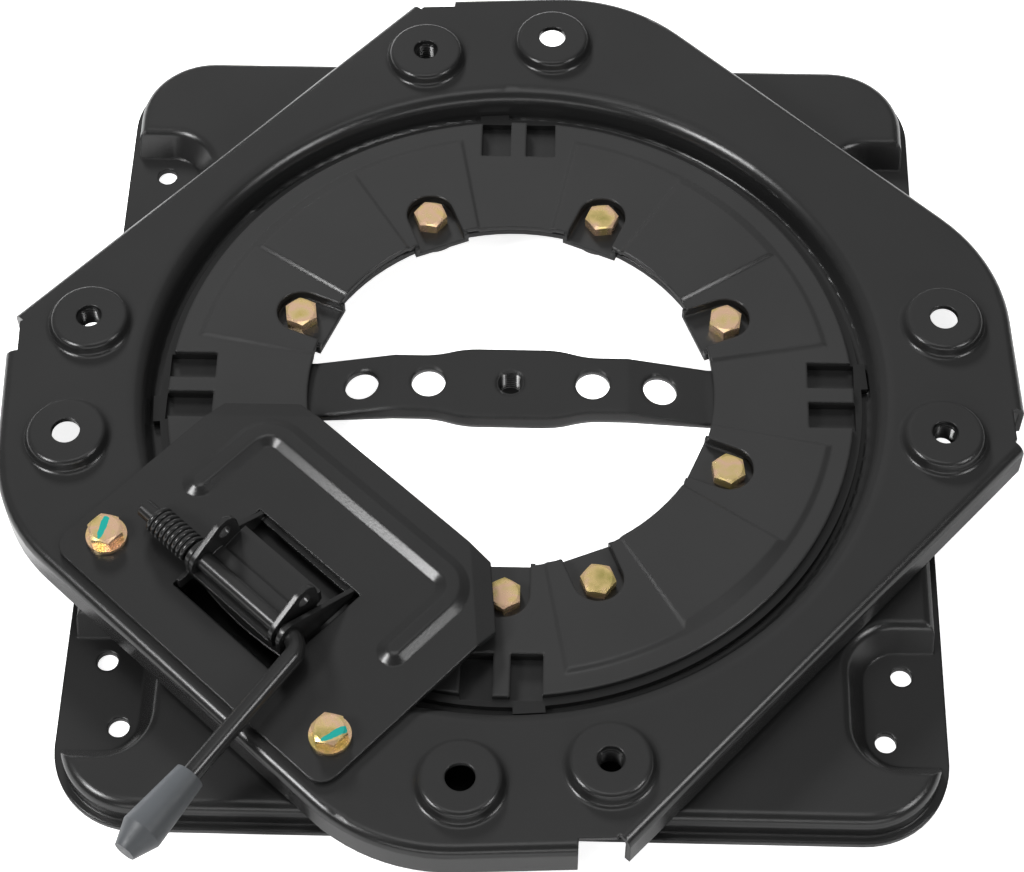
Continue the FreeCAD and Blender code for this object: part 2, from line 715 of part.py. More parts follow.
base_form = new_body("base_form")
outline = level_sketch(base_form, "rim_outline", None)
base_outline(outline, NOTHING)
pad(base_form, outline, dim.base_sheet, "rim")
outline = level_sketch(base_form, "wall_outline", None)
base_outline(outline, dim.rim_width)
pad(base_form, outline, dim.base_rise, "raised_block")
cut_pad_wells(base_form, dim.base_sheet, dim.base_rise, NOTHING)
round_edges(
    base_form, dim.base_fold,
    lambda edge: at_height(edge, dim.base_rise), "base_fold")
outline = level_sketch(base_form, "platform_outline", None)
draw_circle(outline, 0, 0, platform_radius)
pad(base_form, outline, platform_height, "platform")
round_edges(
    base_form, dim.platform_fold,
    lambda edge: is_ring(edge, platform_radius, platform_height), "platform_fold")
outline = level_sketch(base_form, "opening_outline", platform_height)
draw_circle(outline, 0, 0, opening_radius)
pocket(base_form, outline, platform_height, "opening")
outline = level_sketch(base_form, "lobe_outline", platform_under, dim.first_bolt_angle)
draw_circle(outline, dim.bolt_circle, 0, dim.lobe_radius)
lobe = pad(base_form, outline, dim.base_sheet, "lobe")
outline = level_sketch(base_form, "ring_hole", platform_height, dim.first_bolt_angle)
draw_circle(outline, dim.bolt_circle, 0, bolt_hole / 2)
ring_hole = pocket(base_form, outline, platform_height, "ring_hole_cut")
polar(base_form, [lobe, ring_hole], 8, "ring_holes")
polar(base_form, [lobe, ring_hole], 2, "front_ring_hole", dim.front_bolt_turn)
outline = level_sketch(base_form, "mounting_holes", dim.base_sheet)
for side in (-1, 1):
    for middle in (near_pad_y, far_pad_y):
        draw_circle(outline, outer_hole_x * side, middle + dim.hole_step, dim.base_hole_diameter / 2)
        draw_circle(outline, inner_hole_x * side, middle - dim.hole_step, dim.base_hole_diameter / 2)
pocket(base_form, outline, dim.base_sheet, "mounting_hole_cut")

base_hollow = new_body("base_hollow")
outline = level_sketch(base_hollow, "hollow_outline", None)
base_outline(outline, dim.rim_width + dim.base_sheet)
pad(base_hollow, outline, dim.base_rise - dim.base_sheet, "hollow_block")
well_shift = fold_shift(dim.base_sheet, dim.base_rise - dim.base_sheet, dim.pad_wall_run)
cut_pad_wells(base_hollow, NOTHING, dim.base_rise - dim.base_sheet, well_shift)
round_edges(
    base_hollow, dim.base_fold - dim.base_sheet,
    lambda edge: at_height(edge, dim.base_rise - dim.base_sheet), "hollow_fold")
outline = level_sketch(base_hollow, "hollow_platform", None)
draw_circle(outline, 0, 0, platform_radius - dim.base_sheet)
pad(base_hollow, outline, platform_under, "hollow_platform_pad")
base_plate = subtract("base_plate", base_form, base_hollow)

# Slide ring round the platform, under the turning flange
lower_slide_ring = new_body("lower_slide_ring")
outline = level_sketch(lower_slide_ring, "slide_outline", dim.base_rise)
draw_circle(outline, 0, 0, slide_ring_outer)
draw_circle(outline, 0, 0, platform_radius + dim.running_gap)
pad(lower_slide_ring, outline, dim.slide_ring_height, "slide_pad")

# Guide ring over the turning flange, seated on the rim of the platform
guide_ring = new_body("guide_ring")
outline = level_sketch(guide_ring, "seat_outline", platform_height)
draw_circle(outline, 0, 0, seat_outer)
draw_circle(outline, 0, 0, seat_inner)
pad(guide_ring, outline, guide_top - platform_height, "seat")
outline = level_sketch(guide_ring, "guide_outline", guide_low)
draw_circle(outline, 0, 0, dim.guide_outer)
draw_circle(outline, 0, 0, seat_inner)
pad(guide_ring, outline, dim.guide_sheet, "guide_disc")
outline = level_sketch(guide_ring, "tab_outline", guide_low + dim.running_gap, dim.tab_angle)
draw_box(outline, dim.guide_outer - MARGIN, tab_reach, -dim.tab_width / 2, dim.tab_width / 2)
tab = pad(guide_ring, outline, dim.guide_sheet - dim.running_gap, "tab")
polar(guide_ring, [tab], 4, "tabs")
outline = level_sketch(guide_ring, "guide_window", guide_top)
for side in (-1, 1):
    middle = (dim.slot_web + dim.slot_width) / 2 * side
    draw_box(
        outline, slot_inner, dim.guide_outer - dim.window_web,
        middle - dim.slot_width / 2, middle + dim.slot_width / 2)
window = pocket(guide_ring, outline, dim.guide_sheet, "guide_window_cut")
polar(guide_ring, [window], 4, "guide_windows")

# Retaining ring with raised panels, latch slots and bolt pockets
retaining_ring = new_body("retaining_ring")
outline = level_sketch(retaining_ring, "ring_outline", ring_low)
draw_circle(outline, 0, 0, ring_outer)
draw_circle(outline, 0, 0, ring_inner)
pad(retaining_ring, outline, dim.ring_sheet, "ring_disc")


def panel_step(name, foot, half_angle, outer, cut):
    """One raised step of a panel, or the hollow under it."""
    low = level_sketch(retaining_ring, f"{name}_foot", foot, EIGHTH)
    draw_sector(low, ring_inner, outer + dim.panel_foot, half_angle + dim.panel_foot_angle)
    high = level_sketch(retaining_ring, f"{name}_top", foot + dim.panel_rise, EIGHTH)
    draw_sector(high, ring_inner, outer, half_angle)
    return loft(retaining_ring, low, high, name, cut)


panel_steps = []
for name, foot, cut in (("panel", ring_top, False), ("panel_hollow", ring_low, True)):
    panel_steps.append(panel_step(
        f"{name}_wide", foot, dim.wide_panel_angle, panel_top_radius, cut))
    panel_steps.append(panel_step(
        f"{name}_middle", foot + dim.panel_rise, dim.middle_panel_angle,
        panel_top_radius - dim.panel_foot, cut))
polar(retaining_ring, panel_steps, 4, "panels")
outline = level_sketch(retaining_ring, "slot_outline", ring_top)
for side in (-1, 1):
    middle = (dim.slot_web + dim.slot_width) / 2 * side
    draw_box(
        outline, slot_inner, ring_outer + MARGIN,
        middle - dim.slot_width / 2, middle + dim.slot_width / 2)
slot = pocket(retaining_ring, outline, dim.ring_sheet, "slot")
polar(retaining_ring, [slot], 4, "slots")
outline = level_sketch(retaining_ring, "cup_outline", platform_height, dim.first_bolt_angle)
draw_stadium_end(outline, pocket_inner, dim.bolt_circle, dim.pocket_radius + dim.pocket_wall)
cup_top = ring_low + dim.panel_rise + dim.ring_sheet / 4
cup = pad(retaining_ring, outline, cup_top - platform_height, "cup")
outline = level_sketch(retaining_ring, "pocket_outline", highest_panel, dim.first_bolt_angle)
draw_stadium_end(
    outline, pocket_inner - MARGIN, dim.bolt_circle, dim.pocket_radius)
bolt_pocket = pocket(retaining_ring, outline, highest_panel - pocket_floor, "bolt_pocket")
outline = level_sketch(retaining_ring, "ring_bolt_hole", pocket_floor, dim.first_bolt_angle)
draw_circle(outline, dim.bolt_circle, 0, bolt_hole / 2)
pocket_hole = pocket(retaining_ring, outline, dim.ring_sheet, "pocket_hole")
polar(retaining_ring, [cup, bolt_pocket, pocket_hole], 8, "bolt_pockets")
polar(retaining_ring, [cup, bolt_pocket, pocket_hole], 2, "front_bolt_pocket", dim.front_bolt_turn)


# Fasteners
def m8_bolt(label, seat, tip):
    """Hexagon bolt: the head stands on the seat height and the shank ends at the tip height."""
    body = new_body(label)
    corner = dim.head_across * (HEX_CORNER / 2)
    top = seat + dim.head_height
    profile = side_sketch(body, f"{label}_profile")
    draw_chain(profile, [
        (0, tip), (dim.thread_diameter / 2, tip), (dim.thread_diameter / 2, seat), (corner, seat),
        (corner, top - dim.head_chamfer), (dim.head_across / 2 - dim.head_chamfer, top), (0, top)])
    revolve(body, profile, f"{label}_blank")
    flats = level_sketch(body, f"{label}_flats", top)
    draw_circle(flats, 0, 0, corner + MARGIN)
    draw_hexagon(flats, 0, 0, dim.head_across)
    pocket(body, flats, dim.head_height, f"{label}_hexagon")
    return body


def hex_nut(label, top, height, across, bore):
    body = new_body(label)
    outline = level_sketch(body, f"{label}_outline", top - height)
    draw_hexagon(outline, 0, 0, across)
    draw_circle(outline, 0, 0, bore / 2)
    pad(body, outline, height, f"{label}_pad")
    return body


def on_circle(radius, angle):
    return (radius * cosine(angle), radius * sine(angle), angle)


ring_spots = [on_circle(dim.bolt_circle, dim.first_bolt_angle + EIGHTH * step) for step in range(8)]
ring_spots.append(on_circle(dim.bolt_circle, FULL_TURN + dim.first_bolt_angle - dim.front_bolt_turn))
nut_bore = dim.thread_diameter + dim.thread_gap * 2
ring_tip = platform_under - dim.nut_height - dim.bolt_tip
ring_bolt = m8_bolt("ring_bolt", pocket_floor, ring_tip)
ring_nut = hex_nut("ring_nut", platform_under, dim.nut_height, dim.head_across, nut_bore)
ring_bolts = copies("ring_bolts", ring_bolt, ring_spots)
ring_nuts = copies("ring_nuts", ring_nut, ring_spots)

# Cross strap: a side profile and a wavy plan, hollow below between turned down edges
strap_end_top = platform_height + dim.strap_sheet
strap_shift = fold_shift(dim.strap_sheet, strap_height - strap_end_top, strap_foot - dim.strap_level)


def strap_plan(sketch, reach, inset):
    """Plan of the strap: level ends, waists and a wide middle joined by soft waves."""
    waist = strap_waist_width - inset
    middle = dim.strap_middle_width - inset
    run = strap_waist - dim.strap_bulge
    step = dim.strap_middle_width - strap_waist_width
    bend = (run * run + step * step) / (step * 4)
    half_run = (strap_waist + dim.strap_bulge) / 2
    half_width = (waist + middle) / 2
    draw_chain(sketch, [
        (-reach, -waist), (-strap_waist, -waist, -bend), (-half_run, -half_width, bend),
        (-dim.strap_bulge, -middle), (dim.strap_bulge, -middle, bend),
        (half_run, -half_width, -bend), (strap_waist, -waist), (reach, -waist),
        (reach, waist), (strap_waist, waist, -bend), (half_run, half_width, bend),
        (dim.strap_bulge, middle), (-dim.strap_bulge, middle, bend),
        (-half_run, half_width, -bend), (-strap_waist, waist), (-reach, waist)])


def strap_prism(label, reach, inset, height, holes):
    body = new_body(label)
    outline = level_sketch(body, f"{label}_outline", None)
    strap_plan(outline, reach, inset)
    if holes:
        draw_circle(outline, 0, 0, collar_radius)
        for side in (-1, 1):
            for distance in (dim.strap_hole_one, dim.strap_hole_two):
                draw_circle(outline, distance * side, 0, dim.strap_hole_diameter / 2)
    pad(body, outline, height, f"{label}_pad")
    return body


def strap_profile(label, corners):
    body = new_body(label)
    profile = side_sketch(body, f"{label}_sketch")
    draw_chain(profile, corners)
    pad_both_ways(body, profile, dim.strap_middle_width * 2 + MARGIN, f"{label}_pad")
    return body


strap_side = strap_profile("strap_side", [
    (-strap_reach, platform_height), (-strap_foot, platform_height),
    (-dim.strap_level, strap_height - dim.strap_flange),
    (dim.strap_level, strap_height - dim.strap_flange),
    (strap_foot, platform_height), (strap_reach, platform_height),
    (strap_reach, strap_end_top), (strap_foot, strap_end_top),
    (dim.strap_level, strap_height), (-dim.strap_level, strap_height),
    (-strap_foot, strap_end_top), (-strap_reach, strap_end_top)])
strap_outer = strap_prism(
    "strap_outer", strap_reach, NOTHING, strap_height + MARGIN, True)
strap_hollow_side = strap_profile("strap_hollow_side", [
    (strap_shift - strap_foot, NOTHING), (strap_foot - strap_shift, NOTHING),
    (strap_foot - strap_shift, platform_height),
    (dim.strap_level - strap_shift, strap_height - dim.strap_sheet),
    (strap_shift - dim.strap_level, strap_height - dim.strap_sheet),
    (strap_shift - strap_foot, platform_height)])
strap_inner = strap_prism(
    "strap_inner", strap_reach, dim.strap_sheet, strap_height + MARGIN, False)


def common(label, first, second):
    shared = doc.addObject("Part::MultiCommon", label)
    shared.Label = label
    shared.Shapes = [first, second]
    return shared


strap_blank = common("strap_blank", strap_side, strap_outer)
strap_hollow = common("strap_hollow", strap_hollow_side, strap_inner)
cross_strap = subtract("cross_strap", strap_blank, strap_hollow)

strap_nut = new_body("strap_nut")
strap_under = strap_height - dim.strap_sheet
collar_outer = collar_radius - dim.thread_gap
profile = side_sketch(strap_nut, "strap_nut_profile")
draw_chain(profile, [
    (dim.centre_bore_diameter / 2, strap_under - dim.collar_depth),
    (collar_body, strap_under - dim.collar_depth),
    (collar_body, strap_under), (collar_outer, strap_under),
    (collar_outer, strap_height), (dim.centre_bore_diameter / 2, strap_height)])
revolve(strap_nut, profile, "strap_nut_turning")


# Top plate
def plate_outline(sketch, inset):
    """Long sides, cut corners and round ends of the top plate."""
    half_u = plate_half_length - inset
    half_v = plate_half_width - inset
    radius = dim.plate_corner - inset
    centre_u = plate_half_length - dim.plate_corner
    centre_v = plate_chamfer - centre_u - dim.plate_corner * ROOT_TWO
    arc_u = centre_u + radius * ROOT_HALF
    arc_v = centre_v + radius * ROOT_HALF
    cut_u = plate_chamfer - inset * ROOT_TWO - half_v
    draw_chain(sketch, [
        (half_u, centre_v, radius), (arc_u, arc_v), (cut_u, half_v),
        (-cut_u, half_v), (-arc_u, arc_v, radius), (-half_u, centre_v),
        (-half_u, -centre_v, radius), (-arc_u, -arc_v), (-cut_u, -half_v),
        (cut_u, -half_v), (arc_u, -arc_v, radius), (half_u, -centre_v)])


top_plate = new_body("top_plate", turned=True)
outline = level_sketch(top_plate, "plate_outline", skirt_low)
plate_outline(outline, NOTHING)
pad(top_plate, outline, dim.skirt_depth, "plate_block")
round_edges(top_plate, dim.plate_fold, lambda edge: at_height(edge, plate_top), "plate_bend")
outline = level_sketch(top_plate, "skirt_inside", skirt_low)
plate_outline(outline, dim.plate_sheet)
pocket(top_plate, outline, dim.skirt_depth - dim.plate_sheet, "plate_inside", upward=True)
round_edges(
    top_plate, dim.plate_fold - dim.plate_sheet,
    lambda edge: at_height(edge, plate_under), "plate_inner_bend")
outline = level_sketch(top_plate, "recess_opening", plate_top)
draw_circle(outline, 0, 0, recess_radius)
pocket(top_plate, outline, dim.plate_sheet, "recess_cut")

wall_shift = fold_shift(
    dim.plate_sheet, dim.recess_depth, recess_brim - recess_foot)
profile = side_sketch(top_plate, "recess_profile")
draw_chain(profile, [
    (flange_inner, flange_low), (recess_foot + wall_shift, flange_low),
    (recess_brim + wall_shift, plate_under), (recess_radius, plate_under),
    (recess_radius, plate_top), (recess_brim, plate_top),
    (recess_foot, flange_top), (flange_inner, flange_top)])
revolve(top_plate, profile, "recess")
round_edges(
    top_plate, dim.recess_bend, lambda edge: is_ring(edge, recess_brim, plate_top), "brim_bend")
round_edges(
    top_plate, dim.recess_bend - dim.plate_sheet,
    lambda edge: is_ring(edge, recess_brim + wall_shift, plate_under), "brim_inner_bend")
round_edges(
    top_plate, dim.recess_heel, lambda edge: is_ring(edge, recess_foot, flange_top), "heel_bend")
round_edges(
    top_plate, dim.recess_heel + dim.plate_sheet,
    lambda edge: is_ring(edge, recess_foot + wall_shift, flange_low), "heel_outer_bend")


def boss_cone(name, kind, u, v, low, shift):
    cone = top_plate.newObject(kind, name)
    attach(cone, top_plate, "XY_Plane", (u, v, low), None, UP)
    bind(cone, "Radius1", dim.boss_foot - shift)
    bind(cone, "Radius2", boss_top - shift)
    bind(cone, "Height", dim.boss_rise)
    return cone


boss_shift = fold_shift(dim.plate_sheet, dim.boss_rise, dim.boss_foot - boss_top)
boss_parts = []
for name, u, v, hole in (
        ("threaded", threaded_boss_u, threaded_boss_v, threaded_hole),
        ("plain", plain_boss_u, plain_boss_v, dim.plain_hole_diameter)):
    boss_parts.append(boss_cone(
        f"{name}_boss", "PartDesign::AdditiveCone", u, v, plate_top, NOTHING))
    boss_parts.append(boss_cone(
        f"{name}_boss_inside", "PartDesign::SubtractiveCone", u, v, plate_under, boss_shift))
    outline = level_sketch(top_plate, f"{name}_hole", plate_top + dim.boss_rise)
    draw_circle(outline, u, v, hole / 2)
    boss_parts.append(pocket(top_plate, outline, dim.boss_rise, f"{name}_hole_cut"))
outline = level_sketch(top_plate, "notch_outline", plate_top)
notch_start = plate_corner_u - dim.notch_before
notch_end = plate_corner_u + dim.notch_after
notch_floor = plate_half_width - dim.notch_depth
notch_line = plate_chamfer - dim.notch_depth * ROOT_TWO
draw_chain(outline, [
    (notch_start, notch_floor), (notch_line - notch_floor, notch_floor),
    (notch_end, notch_line - notch_end),
    (notch_end + dim.notch_slant, notch_line - notch_end + dim.notch_depth),
    (notch_end + dim.notch_slant, plate_half_width + MARGIN),
    (notch_start, plate_half_width + MARGIN)])
boss_parts.append(pocket(top_plate, outline, dim.skirt_depth, "notch"))
four_ways(top_plate, boss_parts, "bosses_and_notches")
round_edges(
    top_plate, dim.boss_bend,
    lambda edge: is_ring(edge, dim.boss_foot, plate_top)
    or is_ring(edge, boss_top, plate_top + dim.boss_rise),
    "boss_bends")

weld_nut = hex_nut(
    "weld_nut", plate_under + dim.boss_rise, dim.weld_nut_height, dim.weld_nut_across,
    dim.weld_nut_bore_diameter)
corner_spots = [
    (threaded_boss_u * along, threaded_boss_v * across, NOTHING)
    for along in (-1, 1) for across in (-1, 1)]
weld_nuts = copies("weld_nuts", weld_nut, corner_spots, turned=True)

# Latch cover with its fasteners
latch_cover = new_body("latch_cover", turned=True)
cut_side = root(
    dim.cover_cut_length * dim.cover_cut_length + dim.cover_cut_width * dim.cover_cut_width)
crease_u = cover_cut_u + dim.facet_width * cut_side / dim.cover_cut_width
crease_v = cover_cut_v - dim.facet_width * cut_side / dim.cover_cut_length


def cover_outline(sketch, corner_u, corner_v):
    """Outline of the cover with its inner corners cut off through these two places."""
    draw_chain(sketch, [
        (dim.cover_corner - cover_outer_u, -dim.cover_half_width),
        (-corner_u, -dim.cover_half_width), (-cover_inner_u, -corner_v),
        (-cover_inner_u, corner_v), (-corner_u, dim.cover_half_width),
        (dim.cover_corner - cover_outer_u, dim.cover_half_width, dim.cover_corner),
        (-cover_outer_u, dim.cover_half_width - dim.cover_corner),
        (-cover_outer_u, dim.cover_corner - dim.cover_half_width, dim.cover_corner)])


outline = level_sketch(latch_cover, "cover_outline", plate_top)
cover_outline(outline, crease_u, crease_v)
draw_box(
    outline, -window_outer_u, -window_inner_u,
    -window_half_width, window_half_width)
for side in (-1, 1):
    draw_circle(outline, -cover_bolt_u, dim.cover_bolt_v * side, bolt_hole / 2)
pad(latch_cover, outline, dim.cover_sheet, "cover_pad")
facet = new_sketch(
    latch_cover, "facet_section", "XZ_Plane",
    ((cover_cut_u + cover_inner_u) / -2, None, (dim.cover_half_width + cover_cut_v) / -2),
    arctangent(dim.cover_cut_length / dim.cover_cut_width), FreeCAD.Vector(0, 1, 0))
draw_chain(facet, [
    (-dim.facet_width, plate_top), (0, plate_top - dim.facet_drop),
    (0, cover_top - dim.facet_drop), (-dim.facet_width, cover_top)])
folded = pad_both_ways(latch_cover, facet, cut_side * 2, "folded_corner")
mirror = latch_cover.newObject("PartDesign::Mirrored", "folded_corners")
mirror.Originals = [folded]
mirror.MirrorPlane = (origin_item(latch_cover, "XZ_Plane"), [""])
latch_cover.Tip = mirror
outline = level_sketch(latch_cover, "cover_trim", cover_top)
draw_box(
    outline, -cover_outer_u - MARGIN, MARGIN - cover_inner_u + cut_side,
    -dim.cover_half_width - cut_side, dim.cover_half_width + cut_side)
cover_outline(outline, cover_cut_u, cover_cut_v)
pocket(latch_cover, outline, dim.cover_sheet + dim.facet_drop, "cover_trim_cut")


def bead_outline(name, height, width):
    """Ribbon of this width along a U: two arms, two corners and the cross part."""
    sketch = level_sketch(latch_cover, name, height)
    half = width / 2
    outer = dim.bead_bend + half
    inner = dim.bead_bend - half
    corner_u = -bead_cross_u - dim.bead_bend
    corner_v = bead_arm_v - dim.bead_bend
    start = -bead_start_u
    draw_chain(sketch, [
        (start, -bead_arm_v - half), (corner_u, -bead_arm_v - half, outer),
        (half - bead_cross_u, -corner_v), (half - bead_cross_u, corner_v, outer),
        (corner_u, bead_arm_v + half), (start, bead_arm_v + half, half),
        (start - half, bead_arm_v, half),
        (start, bead_arm_v - half), (corner_u, bead_arm_v - half, -inner),
        (-bead_cross_u - half, corner_v), (-bead_cross_u - half, -corner_v, -inner),
        (corner_u, half - bead_arm_v), (start, half - bead_arm_v, half),
        (start - half, -bead_arm_v, half)])
    return sketch


bead_foot = bead_outline("bead_foot", cover_top, dim.bead_width)
bead_crest = bead_outline("bead_crest", cover_top + dim.bead_rise, dim.bead_top_width)
loft(latch_cover, bead_foot, bead_crest, "bead")
round_edges(
    latch_cover, dim.bead_round,
    lambda edge: at_height(edge, cover_top + dim.bead_rise), "bead_round")

cover_spots = [(-cover_bolt_u, dim.cover_bolt_v * side, NOTHING) for side in (-1, 1)]
latch_tip = plate_under - dim.nut_height - dim.bolt_tip
latch_bolt = m8_bolt("latch_bolt", cover_top + dim.washer_sheet, latch_tip)
latch_nut = hex_nut("latch_nut", plate_under, dim.nut_height, dim.head_across, nut_bore)
latch_washer = new_body("latch_washer")
outline = level_sketch(latch_washer, "washer_outline", cover_top)
draw_circle(outline, 0, 0, dim.washer_radius)
draw_circle(outline, 0, 0, bolt_hole / 2)
pad(latch_washer, outline, dim.washer_sheet, "washer_pad")
latch_bolts = copies("latch_bolts", latch_bolt, cover_spots, turned=True)
latch_nuts = copies("latch_nuts", latch_nut, cover_spots, turned=True)
latch_washers = copies("latch_washers", latch_washer, cover_spots, turned=True)
outline = level_sketch(top_plate, "cover_bolt_holes", plate_top)
for side in (-1, 1):
    draw_circle(outline, -cover_bolt_u, dim.cover_bolt_v * side, bolt_hole / 2)
pocket(top_plate, outline, dim.plate_sheet, "cover_bolt_hole_cut")
outline = level_sketch(top_plate, "plate_window", plate_top)
draw_box(
    outline, dim.plate_window_margin - window_outer_u, MARGIN - recess_foot,
    -window_half_width, window_half_width)
pocket(top_plate, outline, dim.plate_window_depth, "plate_window_cut")


def pivot_body(label):
    """A body whose origin lies on the pivot axis, with +X towards the swivel axis."""
    body = new_body(label, turned=True)
    bind(body, "Placement.Base.x", -(pivot_u * cosine(dim.turn_angle)))
    bind(body, "Placement.Base.y", -(pivot_u * sine(dim.turn_angle)))
    bind(body, "Placement.Base.z", pivot_height)
    return body


def beside(body, name, across):
    """Upright sketch at this distance across the latch axis."""
    return side_sketch(body, name, -as_size(across))


# Cheeks that carry the rod, joined by a strip under the cover
pivot_bracket = pivot_body("pivot_bracket")
strip_low = plate_top - dim.cheek_sheet - pivot_height
strip_top = plate_top - pivot_height
window_edge = pivot_u - window_inner_u - dim.running_gap
cheek_low = -dim.cheek_radius - dim.cheek_foot
plate_clear = strip_top + dim.running_gap
for name, across, tail in (
        ("far", far_cheek_v, True), ("near", -near_cheek_v, False)):
    outline = beside(pivot_bracket, f"{name}_cheek_outline", across)
    reach = dim.cheek_radius
    corners = [
        (-reach / 2, strip_low), (window_edge, strip_low), (window_edge, strip_top + dim.cover_sheet),
        (reach * cosine(HEX_TURN), reach * sine(HEX_TURN), reach),
        (-(reach * cosine(HEX_TURN)), reach * sine(HEX_TURN), reach), (-reach, 0)]
    if tail:
        corners.append((-reach, -dim.cheek_tail_drop))
        corners.append((-dim.cheek_tail, -dim.cheek_tail_drop))
        corners.append((-dim.cheek_tail, plate_clear))
        corners.append((-reach / 2, plate_clear))
    else:
        corners.append((-reach, cheek_low))
    draw_chain(outline, corners)
    draw_circle(outline, 0, 0, dim.rod_diameter / 2 + dim.pivot_gap)
    pad_both_ways(pivot_bracket, outline, dim.cheek_sheet, f"{name}_cheek")
outline = level_sketch(pivot_bracket, "strip_outline", strip_low)
draw_box(
    outline, window_edge - dim.cheek_sheet, window_edge + dim.cheek_tongue,
    -near_cheek_v - dim.cheek_sheet / 2, far_cheek_v + dim.cheek_sheet / 2)
pad(pivot_bracket, outline, dim.cheek_sheet, "strip")

# Lever rod: pivot part, bend and handle
handle_u = cosine(dim.handle_angle)
handle_v = sine(dim.handle_angle)
lever_rod = pivot_body("lever_rod")
path = level_sketch(lever_rod, "rod_path", None)
draw_chain(path, [
    (0, rod_end_v), (0, bend_length - rod_turn_v, -dim.rod_bend),
    (-(bend_length * handle_u), -rod_turn_v - bend_length * handle_v),
    (-(dim.handle_length * handle_u), -rod_turn_v - dim.handle_length * handle_v)],
    closed=False)
section = beside(lever_rod, "rod_section", rod_end_v)
draw_circle(section, 0, 0, dim.rod_diameter / 2)
sweep = lever_rod.newObject("PartDesign::AdditivePipe", "rod_sweep")
sweep.Profile = section
sweep.Spine = (path, [])
round_edges(
    lever_rod, dim.rod_chamfer,
    lambda edge: abs(edge.BoundBox.YMin - rod_end_v.value) < ON_SPOT, "rod_end_chamfer", bevel=True)

# Grip over the end of the handle
lever_grip = pivot_body("lever_grip")
profile = new_sketch(
    lever_grip, "grip_profile", "XY_Plane", (None, -rod_turn_v, None),
    QUARTER + dim.handle_angle)
rod_hole = dim.rod_diameter / 2 + dim.grip_gap
draw_chain(profile, [
    (rod_hole, grip_start), (dim.grip_neck, grip_start),
    (dim.grip_belly, grip_end - dim.grip_taper), (dim.grip_tip, grip_end),
    (0, grip_end), (0, dim.handle_length + dim.grip_gap),
    (rod_hole, dim.handle_length + dim.grip_gap)])
revolve(lever_grip, profile, "grip_turning")

# Pawl: a folded web with two teeth between two ears
latch_pawl = pivot_body("latch_pawl")
web_far = dim.far_ear_v - dim.ear_sheet / 2
web_near = dim.near_ear_v - dim.ear_sheet / 2
web_top = -dim.rod_diameter / 2
web_low = web_top - dim.pawl_sheet
tail = -dim.pawl_tail
knee = dim.pawl_knee
ridge = dim.pawl_reach
tooth_base = tooth_low - pivot_height
outline = beside(latch_pawl, "web_profile", (web_far - web_near) / 2)
draw_chain(outline, [
    (tail, web_low), (knee, web_low), (ridge, web_low + dim.pawl_ridge_rise),
    (ridge, tooth_base), (ridge + dim.pawl_sheet, tooth_base),
    (ridge + dim.pawl_sheet, web_top + dim.pawl_ridge_rise), (ridge, web_top + dim.pawl_ridge_rise),
    (knee, web_top), (tail, web_top)])
pad_both_ways(latch_pawl, outline, web_far + web_near, "web")
outline = beside(latch_pawl, "tie_profile", (web_far - web_near) / 2)
tie_edge = dim.rod_diameter / 2 + dim.tie_gap
draw_box(
    outline, tie_edge, tie_edge + dim.tie_width, -dim.tie_drop - dim.pawl_sheet, -dim.tie_drop)
pad_both_ways(latch_pawl, outline, web_far + web_near, "tie")
gaps = new_sketch(
    latch_pawl, "tooth_gaps", "YZ_Plane", (None, None, ridge - MARGIN))
tooth_middle = (dim.slot_web + dim.slot_width) / 2
tooth_inner = tooth_middle - tooth_width / 2
tooth_outer = tooth_middle + tooth_width / 2
for left, right in (
        (-web_near - MARGIN, -tooth_outer), (-tooth_inner, tooth_inner),
        (tooth_outer, web_far + MARGIN)):
    draw_box(gaps, left, right, tooth_base - MARGIN, tooth_base + dim.tooth_length)
pocket(latch_pawl, gaps, MARGIN * 2 + dim.pawl_sheet, "tooth_gap_cut", upward=True)
ear_u = dim.ear_reach * cosine(dim.ear_tilt)
ear_z = dim.ear_reach * sine(dim.ear_tilt)
ear_side = dim.ear_tilt + QUARTER
for name, across in (("far", dim.far_ear_v), ("near", -dim.near_ear_v)):
    outline = beside(latch_pawl, f"{name}_ear_outline", across)
    reach = dim.ear_radius
    draw_chain(outline, [
        (tail, web_low), (knee, web_low), (ridge, web_low + dim.pawl_ridge_rise),
        (ear_u + reach, ear_z, reach),
        (ear_u + reach * cosine(HEX_TURN), ear_z + reach * sine(HEX_TURN), reach),
        (ear_u + reach * cosine(ear_side), ear_z + reach * sine(ear_side)),
        (reach * cosine(ear_side), reach * sine(ear_side), reach), (-reach, 0)])
    draw_circle(outline, 0, 0, dim.rod_diameter / 2 + dim.weld_gap)
    draw_circle(outline, ear_u, ear_z, dim.ear_hole_diameter / 2)
    pad_both_ways(latch_pawl, outline, dim.ear_sheet, f"{name}_ear")

# Torsion spring round the free end of the rod
torsion_spring = pivot_body("torsion_spring")
section = level_sketch(torsion_spring, "wire_section", None)
draw_octagon(section, spring_radius, spring_start_v, dim.spring_wire)
coil = torsion_spring.newObject("PartDesign::AdditiveHelix", "coil")
coil.Profile = section
coil.ReferenceAxis = (section, ["V_Axis"])
coil.Mode = 0
bind(coil, "Pitch", spring_pitch)
bind(coil, "Height", spring_pitch * dim.spring_turns)

NODES = [
    base_plate, lower_slide_ring, guide_ring, retaining_ring, ring_bolts, ring_nuts, cross_strap,
    strap_nut, top_plate, weld_nuts, latch_cover, latch_bolts, latch_washers, latch_nuts,
    pivot_bracket, torsion_spring, lever_rod, latch_pawl, lever_grip,
]

doc.recompute()
for item in doc.Objects:
    if "Invalid" in item.State or "Error" in item.State:
        raise RuntimeError(f"{item.Label} failed: {item.State}")
for item in NODES:
    if item.Shape.isNull() or not item.Shape.isValid() or not item.Shape.Solids:
        raise RuntimeError(f"{item.Label} has no valid solid")

